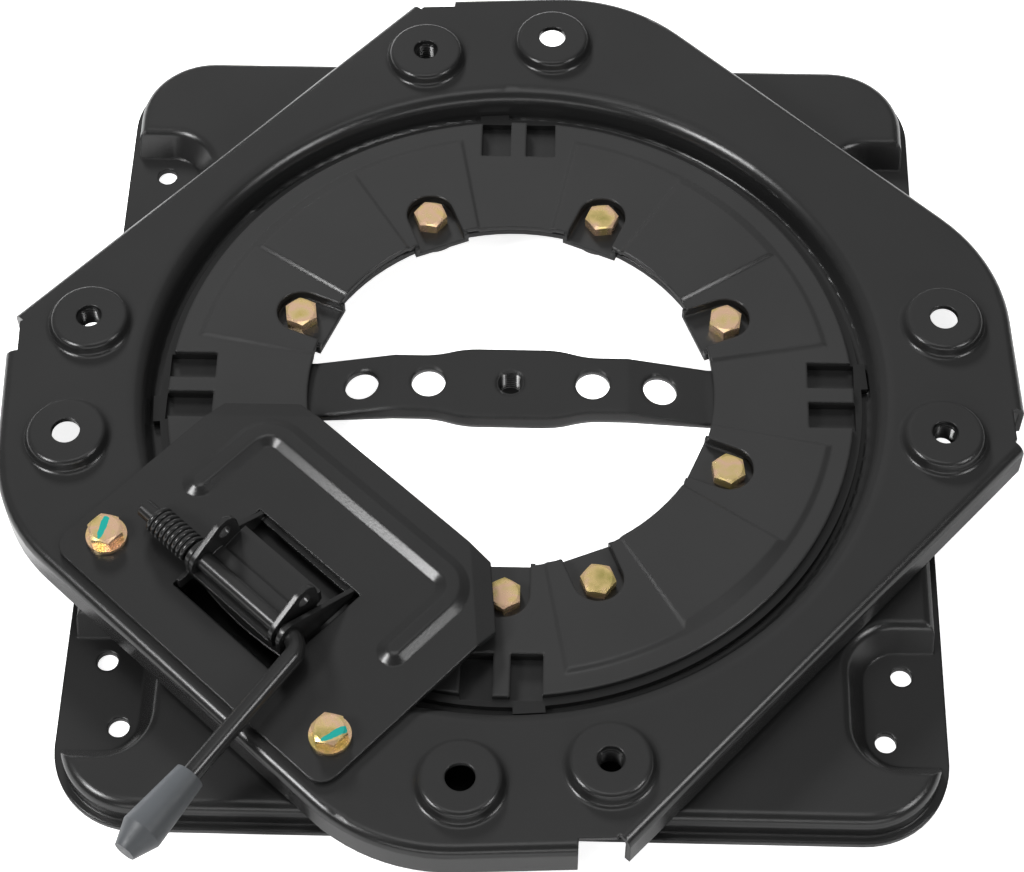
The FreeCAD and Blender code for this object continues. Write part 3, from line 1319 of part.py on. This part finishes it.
os.makedirs("parts", exist_ok=True)
for item in NODES:
    item.Shape.exportStep(f"parts/{item.Label}.step")
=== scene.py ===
import math

import bmesh
import bpy
from mathutils import Matrix, Vector


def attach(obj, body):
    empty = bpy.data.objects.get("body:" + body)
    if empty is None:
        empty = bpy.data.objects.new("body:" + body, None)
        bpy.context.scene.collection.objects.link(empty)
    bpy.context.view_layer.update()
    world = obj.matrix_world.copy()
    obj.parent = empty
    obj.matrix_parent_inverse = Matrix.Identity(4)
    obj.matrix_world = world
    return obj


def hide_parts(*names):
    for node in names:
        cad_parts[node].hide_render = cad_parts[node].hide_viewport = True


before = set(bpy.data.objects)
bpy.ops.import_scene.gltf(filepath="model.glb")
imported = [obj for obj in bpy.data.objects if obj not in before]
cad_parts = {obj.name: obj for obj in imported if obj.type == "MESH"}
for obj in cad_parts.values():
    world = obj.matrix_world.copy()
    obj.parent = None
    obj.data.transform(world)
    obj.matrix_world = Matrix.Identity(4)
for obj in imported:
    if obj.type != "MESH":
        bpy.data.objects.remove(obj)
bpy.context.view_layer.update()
scene = bpy.context.scene

# Places and sizes on the part are in millimetres. Lamps, floor and materials are in metres
MM = 0.001
UPWARD = Vector((0, 0, 1))
# The turning plate and its latch stand turned by this angle on the base
TURN = math.radians(47.85)


def spot(u, v, z):
    """Place in metres of a point given in millimetres in the turning plate's own frame."""
    x = u * math.cos(TURN) - v * math.sin(TURN)
    y = u * math.sin(TURN) + v * math.cos(TURN)
    return Vector((x * MM, y * MM, z * MM))


# Camera: the eye of the photograph, as the fit of holes, bolt heads and edges gave it. Target
# and distance are in millimetres, and the focal length in pixels of the photograph's width
AZIMUTH = math.radians(2.21)
ELEVATION = math.radians(57.46)
ROLL = math.radians(-0.81)
TARGET = Vector((0.54, -6.16, 0.0)) * MM
DISTANCE = 1130.29
FOCAL_LENGTH = 2596.86
PHOTO_WIDTH = 1024
SENSOR_WIDTH = 36.0
CLIP_RANGE = (0.05, 20.0)


def place_camera():
    back = Vector((
        math.sin(AZIMUTH) * math.cos(ELEVATION),
        -math.cos(AZIMUTH) * math.cos(ELEVATION),
        math.sin(ELEVATION)))
    right = (-back).cross(UPWARD).normalized()
    up = right.cross(-back).normalized()
    tilted_right = right * math.cos(ROLL) + up * math.sin(ROLL)
    tilted_up = up * math.cos(ROLL) - right * math.sin(ROLL)
    data = bpy.data.cameras.new("photo_camera")
    data.sensor_width = SENSOR_WIDTH
    data.sensor_fit = "HORIZONTAL"
    data.lens = FOCAL_LENGTH / PHOTO_WIDTH * SENSOR_WIDTH
    data.clip_start, data.clip_end = CLIP_RANGE
    camera = bpy.data.objects.new("photo_camera", data)
    turn = Matrix((tilted_right, tilted_up, back)).transposed().to_4x4()
    camera.matrix_world = Matrix.Translation(TARGET + back * DISTANCE * MM) @ turn
    scene.collection.objects.link(camera)
    scene.camera = camera


place_camera()

# Light: wide soft panels behind and above, a long low strip in front, two small softboxes for
# the gleams, and a strong key lamp behind on the left that makes the shadows but no gleam
MIDDLE = (0.0, 0.0, 0.03)
LAMPS = (
    # name, place, aim, width, depth, watts, whether it gleams
    ("softbox_back", (0.0, 0.85, 1.5), MIDDLE, 1.9, 1.7, 2.3, True),
    ("softbox_above", (0.0, -0.1, 1.6), (0.0, -0.05, 0.0), 0.9, 0.5, 2.5, True),
    ("softbox_front", (0.1, -1.45, 0.55), MIDDLE, 1.8, 0.25, 5.0, True),
    ("softbox_left", (-0.905, -0.481, 1.025), MIDDLE, 0.36, 0.36, 12.0, True),
    ("softbox_right", (0.96, -0.45, 0.99), MIDDLE, 0.36, 0.36, 5.0, True),
    ("key_back_left", (-0.48, 1.30, 0.84), MIDDLE, 0.28, 0.28, 62.0, False),
)
ROOM_LIGHT = 0.13


def add_area(name, place, aim, width, depth, watts, gleams):
    data = bpy.data.lights.new(name, "AREA")
    data.shape = "RECTANGLE"
    data.size = width
    data.size_y = depth
    data.energy = watts
    lamp = bpy.data.objects.new(name, data)
    lamp.location = place
    lamp.rotation_euler = (Vector(aim) - Vector(place)).to_track_quat("-Z", "Y").to_euler()
    lamp.visible_glossy = gleams
    scene.collection.objects.link(lamp)


def grey(level):
    return (level, level, level)


def build_world():
    """Dim even room that the part sees, and plain white that the camera sees."""
    world = bpy.data.worlds.new("studio")
    scene.world = world
    world.use_nodes = True
    nodes = world.node_tree.nodes
    links = world.node_tree.links
    nodes.clear()
    room = nodes.new("ShaderNodeBackground")
    room.inputs["Color"].default_value = (*grey(ROOM_LIGHT), 1)
    backdrop = nodes.new("ShaderNodeBackground")
    backdrop.inputs["Color"].default_value = (*grey(1), 1)
    ray = nodes.new("ShaderNodeLightPath")
    blend = nodes.new("ShaderNodeMixShader")
    output = nodes.new("ShaderNodeOutputWorld")
    links.new(ray.outputs["Is Camera Ray"], blend.inputs[0])
    links.new(room.outputs[0], blend.inputs[1])
    links.new(backdrop.outputs[0], blend.inputs[2])
    links.new(blend.outputs[0], output.inputs[0])


for lamp in LAMPS:
    add_area(*lamp)
build_world()

# Materials: most values of a noise lie between these two, so its tones are spread over them
NOISE_LOW = 0.3
NOISE_HIGH = 0.7
# Fine grain that every surface of the part has, and soft edges that most of them have
GRAIN_SCALE = 900.0
GRAIN_DETAIL = 2.0
GRAIN_DEPTH = 0.00002
BEVEL_SAMPLES = 6


class Recipe:
    """Small helper that wires the nodes of one material."""

    def __init__(self, name, colour, metallic, roughness):
        self.material = bpy.data.materials.new(name)
        self.material.use_nodes = True
        self.tree = self.material.node_tree
        self.shader = self.tree.nodes["Principled BSDF"]
        self.shader.inputs["Base Color"].default_value = (*colour, 1)
        self.shader.inputs["Metallic"].default_value = metallic
        self.shader.inputs["Roughness"].default_value = roughness
        self.place = self.add("ShaderNodeTexCoord").outputs["Object"]

    def add(self, kind):
        return self.tree.nodes.new(kind)

    def link(self, source, target):
        self.tree.links.new(source, target)

    def noise(self, scale, detail=3.0, stretch=None):
        node = self.add("ShaderNodeTexNoise")
        node.inputs["Scale"].default_value = scale
        node.inputs["Detail"].default_value = detail
        source = self.place
        if stretch is not None:
            mapping = self.add("ShaderNodeMapping")
            mapping.inputs["Scale"].default_value = stretch
            self.link(source, mapping.inputs["Vector"])
            source = mapping.outputs[0]
        self.link(source, node.inputs["Vector"])
        return node.outputs["Fac"]

    def span(self, source, low, high, start=NOISE_LOW, end=NOISE_HIGH):
        """Source values from start to end, mapped to the range from low to high."""
        node = self.add("ShaderNodeMapRange")
        node.inputs["From Min"].default_value = start
        node.inputs["From Max"].default_value = end
        node.inputs["To Min"].default_value = low
        node.inputs["To Max"].default_value = high
        self.link(source, node.inputs["Value"])
        return node.outputs[0]

    def math(self, operation, first, second=None):
        node = self.add("ShaderNodeMath")
        node.operation = operation
        self.link(first, node.inputs[0])
        if isinstance(second, float):
            node.inputs[1].default_value = second
        elif second is not None:
            self.link(second, node.inputs[1])
        return node.outputs[0]

    def colours(self, source, stops):
        """Base colour from a ramp of (position, colour) stops over the source."""
        node = self.add("ShaderNodeValToRGB")
        node.color_ramp.elements[0].position = stops[0][0]
        node.color_ramp.elements[0].color = (*stops[0][1], 1)
        node.color_ramp.elements[1].position = stops[-1][0]
        node.color_ramp.elements[1].color = (*stops[-1][1], 1)
        for position, colour in stops[1:-1]:
            stop = node.color_ramp.elements.new(position)
            stop.color = (*colour, 1)
        self.link(source, node.inputs[0])
        self.link(node.outputs[0], self.shader.inputs["Base Color"])

    def mottle(self, noise, dark, light):
        """Base colour that drifts with a noise between two tones."""
        self.colours(noise, [(NOISE_LOW, dark), (NOISE_HIGH, light)])

    def gloss(self, noise, low, high):
        """Roughness that drifts with a noise between two values."""
        self.link(self.span(noise, low, high), self.shader.inputs["Roughness"])

    def grain(self, depth=GRAIN_DEPTH, edge=None, scale=GRAIN_SCALE):
        """Fine bump of this depth, over softened edges where an edge radius is given."""
        height = self.noise(scale, GRAIN_DETAIL)
        bump = self.add("ShaderNodeBump")
        bump.inputs["Strength"].default_value = 1.0
        bump.inputs["Distance"].default_value = depth
        self.link(height, bump.inputs["Height"])
        if edge is not None:
            bevel = self.add("ShaderNodeBevel")
            bevel.samples = BEVEL_SAMPLES
            bevel.inputs["Radius"].default_value = edge
            self.link(bevel.outputs[0], bump.inputs["Normal"])
        self.link(bump.outputs[0], self.shader.inputs["Normal"])

    def surface(self, shader):
        self.link(shader, self.tree.nodes["Material Output"].inputs["Surface"])


COAT_BLACK = grey(0.013)
RING_BLACK = grey(0.018)
# Painted shade: a near-black tone, darker than the coat, for what stands in deep shade
SHADE_BLACK = grey(0.006)
SPRING_BLACK = grey(0.014)
# How far a coat drifts: shares of its colour, and steps down and up in its roughness
DARKER = 0.93
LIGHTER = 1.07
SMOOTHER = 0.015
ROUGHER = 0.02


def black_coat(name, colour=COAT_BLACK, rough=0.25, edge=0.0006):
    """Baked black coating: even, satin, with a faint orange peel."""
    recipe = Recipe(name, colour, metallic=0.0, roughness=rough)
    dark = tuple(part * DARKER for part in colour)
    light = tuple(part * LIGHTER for part in colour)
    recipe.mottle(recipe.noise(scale=14.0, detail=4.0), dark, light)
    recipe.gloss(recipe.noise(scale=60.0, detail=5.0), rough - SMOOTHER, rough + ROUGHER)
    recipe.grain(edge=edge)
    return recipe.material


def yellow_zinc(name):
    """Recipe of yellow passivated zinc: gold with pink and green drifts and hardly any grain."""
    recipe = Recipe(name, (0.75, 0.6, 0.33), metallic=0.8, roughness=0.28)
    recipe.colours(recipe.noise(scale=95.0, stretch=(1.0, 1.0, 0.6)), [
        (0.28, (0.50, 0.42, 0.14)), (0.42, (0.82, 0.62, 0.27)),
        (0.54, (0.88, 0.58, 0.40)), (0.64, (0.80, 0.61, 0.30)),
        (0.76, (0.66, 0.52, 0.17))])
    recipe.gloss(recipe.noise(scale=300.0), low=0.20, high=0.30)
    recipe.grain(depth=0.000004)
    return recipe


def grey_grip(name):
    """Matt grey plastic of the handle's grip."""
    recipe = Recipe(name, (0.052, 0.056, 0.060), metallic=0.0, roughness=0.48)
    recipe.mottle(recipe.noise(scale=30.0), (0.048, 0.052, 0.056), (0.056, 0.060, 0.065))
    recipe.gloss(recipe.noise(scale=300.0), low=0.42, high=0.56)
    recipe.grain(edge=0.0005, scale=1200.0)
    return recipe.material


def dull_plastic(name):
    """Dark plastic of the hidden slide ring."""
    recipe = Recipe(name, grey(0.05), metallic=0.0, roughness=0.5)
    recipe.mottle(recipe.noise(scale=40.0), (0.042, 0.042, 0.043), grey(0.058))
    recipe.grain()
    return recipe.material


# Teal paint on the two latch bolts: place, turn, and half length and half width in metres
STROKES = (
    (spot(-170.6, 66.2, 44.4), 1.35, 0.0060, 0.0019),
    (spot(-170.6, -68.8, 44.4), 0.52, 0.0062, 0.0019),
)
TEAL = (0.004, 0.20, 0.17)
PAINT_ROUGHNESS = 0.4
# A stroke ends where along ** BLUNT + across ** ROUND + noise passes STROKE_EDGE. The taper
# multiplies the distance across, so the larger factor makes the thinner end
STROKE_EDGE = 1.2
BLUNT = 4.0
ROUND = 2.0
THIN_END = 1.5
WIDE_END = 0.8


def paint_strokes(recipe, strokes):
    """Lays short tapered brush marks with ragged edges over the surface of a recipe."""
    ragged = recipe.noise(scale=600.0)
    total = None
    for place, turn, length, width in strokes:
        mapping = recipe.add("ShaderNodeMapping")
        mapping.vector_type = "TEXTURE"
        mapping.inputs["Location"].default_value = place
        mapping.inputs["Rotation"].default_value = (0.0, 0.0, turn)
        mapping.inputs["Scale"].default_value = (length, width, 1.0)
        recipe.link(recipe.place, mapping.inputs["Vector"])
        parts = recipe.add("ShaderNodeSeparateXYZ")
        recipe.link(mapping.outputs[0], parts.inputs[0])
        along = recipe.math("POWER", recipe.math("ABSOLUTE", parts.outputs["X"]), BLUNT)
        taper = recipe.span(parts.outputs["X"], THIN_END, WIDE_END, start=-1.0, end=1.0)
        offset = recipe.math("MULTIPLY", parts.outputs["Y"], taper)
        across = recipe.math("POWER", recipe.math("ABSOLUTE", offset), ROUND)
        reach = recipe.math("ADD", recipe.math("ADD", along, across), ragged)
        mask = recipe.math("LESS_THAN", reach, STROKE_EDGE)
        total = mask if total is None else recipe.math("MAXIMUM", total, mask)
    paint = recipe.add("ShaderNodeBsdfPrincipled")
    paint.inputs["Base Color"].default_value = (*TEAL, 1)
    paint.inputs["Roughness"].default_value = PAINT_ROUGHNESS
    blend = recipe.add("ShaderNodeMixShader")
    recipe.link(total, blend.inputs[0])
    recipe.link(recipe.shader.outputs[0], blend.inputs[1])
    recipe.link(paint.outputs[0], blend.inputs[2])
    recipe.surface(blend.outputs[0])
    return recipe.material


COAT = black_coat("black_coat")
RING_COAT = black_coat("ring_coat", RING_BLACK, edge=0.0018)
BASE_COAT = black_coat("base_coat", edge=0.0016)
PLATE_COAT = black_coat("plate_coat", edge=0.0012)
STRAP_COAT = black_coat("strap_coat", edge=0.0030)
COVER_COAT = black_coat("cover_coat", edge=0.0010)
# Painted shade: the guide ring gets a darker, duller coat than the rest, so the channel round
# the ring and the slots read as shade
GUIDE_SHADE_COAT = black_coat("guide_shade_coat", SHADE_BLACK, rough=0.4, edge=None)
# Painted shade: the tube under the strap's middle hole is near black and hardly reflects
SHADE_SLEEVE_COAT = black_coat("shade_sleeve_coat", SHADE_BLACK, rough=0.8, edge=None)
SHADE_SLEEVE_COAT.node_tree.nodes["Principled BSDF"].inputs["Specular IOR Level"].default_value = 0.1
SPRING = black_coat("spring_coat", SPRING_BLACK, rough=0.2, edge=None)
ZINC = yellow_zinc("yellow_zinc").material
MARKED_ZINC = paint_strokes(yellow_zinc("marked_zinc"), STROKES)
GRIP = grey_grip("grey_grip")
PLASTIC = dull_plastic("slide_plastic")

FINISH = {
    "ring_bolts": ZINC, "ring_nuts": ZINC, "latch_bolts": MARKED_ZINC,
    "latch_washers": ZINC, "latch_nuts": ZINC, "lever_grip": GRIP,
    "lower_slide_ring": PLASTIC, "torsion_spring": SPRING,
    "retaining_ring": RING_COAT, "base_plate": BASE_COAT, "cross_strap": STRAP_COAT,
    "top_plate": PLATE_COAT, "latch_cover": COVER_COAT, "guide_ring": GUIDE_SHADE_COAT,
}
for name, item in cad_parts.items():
    item.data.materials.clear()
    item.data.materials.append(FINISH.get(name, COAT))


def make_piece(name, shape, material):
    """Object of the scene made from a finished bmesh."""
    mesh = bpy.data.meshes.new(name)
    shape.to_mesh(mesh)
    shape.free()
    mesh.materials.append(material)
    piece = bpy.data.objects.new(name, mesh)
    scene.collection.objects.link(piece)
    return piece


def join_rings(shape, pairs):
    """Four-sided faces between each pair of rings of points."""
    for lower, upper in pairs:
        for index in range(len(lower)):
            after = (index + 1) % len(lower)
            shape.faces.new((lower[index], lower[after], upper[after], upper[index]))


def sweep_helix(name, axes, section, pitch, turns, steps, material, smooth=False):
    """Section carried along a helix. The axes are its start, direction and two normals."""
    start, axis, first, second = axes
    shape = bmesh.new()
    rings = []
    for step in range(int(turns * steps) + 1):
        angle = math.tau * step / steps
        outward = first * math.cos(angle) + second * math.sin(angle)
        middle = start + axis * (pitch * step / steps)
        rings.append([
            shape.verts.new(middle + outward * radius + axis * along)
            for radius, along in section])
    join_rings(shape, zip(rings, rings[1:]))
    caps = [shape.faces.new(rings[0]), shape.faces.new(list(reversed(rings[-1])))]
    bmesh.ops.recalc_face_normals(shape, faces=shape.faces)
    for face in shape.faces:
        face.smooth = smooth and face not in caps
    return make_piece(name, shape, material)


# Coil spring: round wire on the free end of the lever rod, in place of the plain solid
COIL_START = spot(-153.2, 30.4, 46.5)
COIL_RADIUS = 5.35
COIL_PITCH = 2.45
COIL_TURNS = 9.0
COIL_STEPS = 48
WIRE_RADIUS = 1.15
WIRE_SIDES = 14

across = spot(0, 1, 0).normalized()
inward = spot(1, 0, 0).normalized()
wire_angles = [math.tau * side / WIRE_SIDES for side in range(WIRE_SIDES)]
wire = [
    ((COIL_RADIUS + WIRE_RADIUS * math.cos(angle)) * MM, WIRE_RADIUS * math.sin(angle) * MM)
    for angle in wire_angles]
coil = sweep_helix(
    "spring_coil", (COIL_START, across, inward, UPWARD), wire,
    COIL_PITCH * MM, COIL_TURNS, COIL_STEPS, SPRING, smooth=True)
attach(coil, "turntable")
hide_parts("torsion_spring")

# Threads: sharp ridges in the plain bores of the four weld nuts and the strap nut
THREAD_PITCH = 1.5
THREAD_STEPS = 36
THREAD_MARGIN = 0.7
RIDGE_ROOT = 0.05
RIDGE_HEIGHT = 0.62
RIDGE_FOOT = 0.62
RIDGE_CREST = 0.10


def add_thread(name, u, v, low, high, bore, body, material):
    """Inner thread: one ridge along a helix, a little short of both ends of the bore."""
    wall = bore + RIDGE_ROOT
    crest = bore - RIDGE_HEIGHT
    ridge = [
        (wall, -RIDGE_FOOT), (crest, -RIDGE_CREST), (crest, RIDGE_CREST), (wall, RIDGE_FOOT)]
    section = [(radius * MM, along * MM) for radius, along in ridge]
    turns = (high - low - 2 * THREAD_MARGIN) / THREAD_PITCH
    axes = (spot(u, v, low + THREAD_MARGIN), UPWARD, Vector((1, 0, 0)), Vector((0, 1, 0)))
    piece = sweep_helix(name, axes, section, THREAD_PITCH * MM, turns, THREAD_STEPS, material)
    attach(piece, body)


SEAT_U = 103.103
SEAT_V = 152.4
SEAT_SIDES = ((-1, -1), (-1, 1), (1, -1), (1, 1))

for number, (side_u, side_v) in enumerate(SEAT_SIDES, start=1):
    add_thread(
        f"seat_thread_{number}", SEAT_U * side_u, SEAT_V * side_v,
        low=27.5, high=37.5, bore=5.1, body="turntable", material=SPRING)
add_thread(
    "strap_thread", 0, 0,
    low=21.0, high=32.0, bore=5.35, body="base", material=SPRING)

# Painted shade: a dark, dull tube under the middle hole of the strap, that keeps the view
# through the hole dark
SHADE_SLEEVE_SIDES = 48


def add_shade_sleeve(name, low, high, inner, outer, material):
    """Plain tube round the swivel centre, open at both ends, that stands in as painted shade."""
    shape = bmesh.new()
    corners = ((inner, low), (outer, low), (outer, high), (inner, high))
    rings = []
    for side in range(SHADE_SLEEVE_SIDES):
        angle = math.tau * side / SHADE_SLEEVE_SIDES
        outward = Vector((math.cos(angle), math.sin(angle), 0.0))
        rings.append([
            shape.verts.new((outward * radius + Vector((0.0, 0.0, height))) * MM)
            for radius, height in corners])
    join_rings(shape, zip(rings, rings[1:] + rings[:1]))
    bmesh.ops.recalc_face_normals(shape, faces=shape.faces)
    return make_piece(name, shape, material)


shade_sleeve = add_shade_sleeve("strap_shade_sleeve", low=13.5, high=21.2, inner=5.4, outer=7.4, material=SHADE_SLEEVE_COAT)
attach(shade_sleeve, "base")

# Floor: white with a faint shadow to the camera, plain pale paper to everything else
FLOOR_SIZE = 4.0
FLOOR_DROP = 0.0005
PAPER = grey(0.82)
PAPER_DARK = grey(0.80)
PAPER_LIGHT = grey(0.84)
PAPER_GLOW = 0.85


def glowing_paper(name):
    """Pale paper that glows to the camera alone."""
    paper = Recipe(name, PAPER, metallic=0.0, roughness=0.9)
    paper.colours(paper.noise(scale=3.0), [(0.0, PAPER_DARK), (1.0, PAPER_LIGHT)])
    glow = paper.add("ShaderNodeEmission")
    glow.inputs["Strength"].default_value = PAPER_GLOW
    both = paper.add("ShaderNodeAddShader")
    choice = paper.add("ShaderNodeMixShader")
    path = paper.add("ShaderNodeLightPath")
    paper.link(glow.outputs[0], both.inputs[0])
    paper.link(paper.shader.outputs[0], both.inputs[1])
    paper.link(path.outputs["Is Camera Ray"], choice.inputs[0])
    paper.link(paper.shader.outputs[0], choice.inputs[1])
    paper.link(both.outputs[0], choice.inputs[2])
    paper.surface(choice.outputs[0])
    return paper.material


floor_shape = bmesh.new()
bmesh.ops.create_grid(floor_shape, x_segments=1, y_segments=1, size=FLOOR_SIZE)
floor = make_piece("floor", floor_shape, glowing_paper("paper"))
floor.location = (0, 0, -FLOOR_DROP)

scene.view_settings.view_transform = "Standard"
bpy.context.view_layer.update()
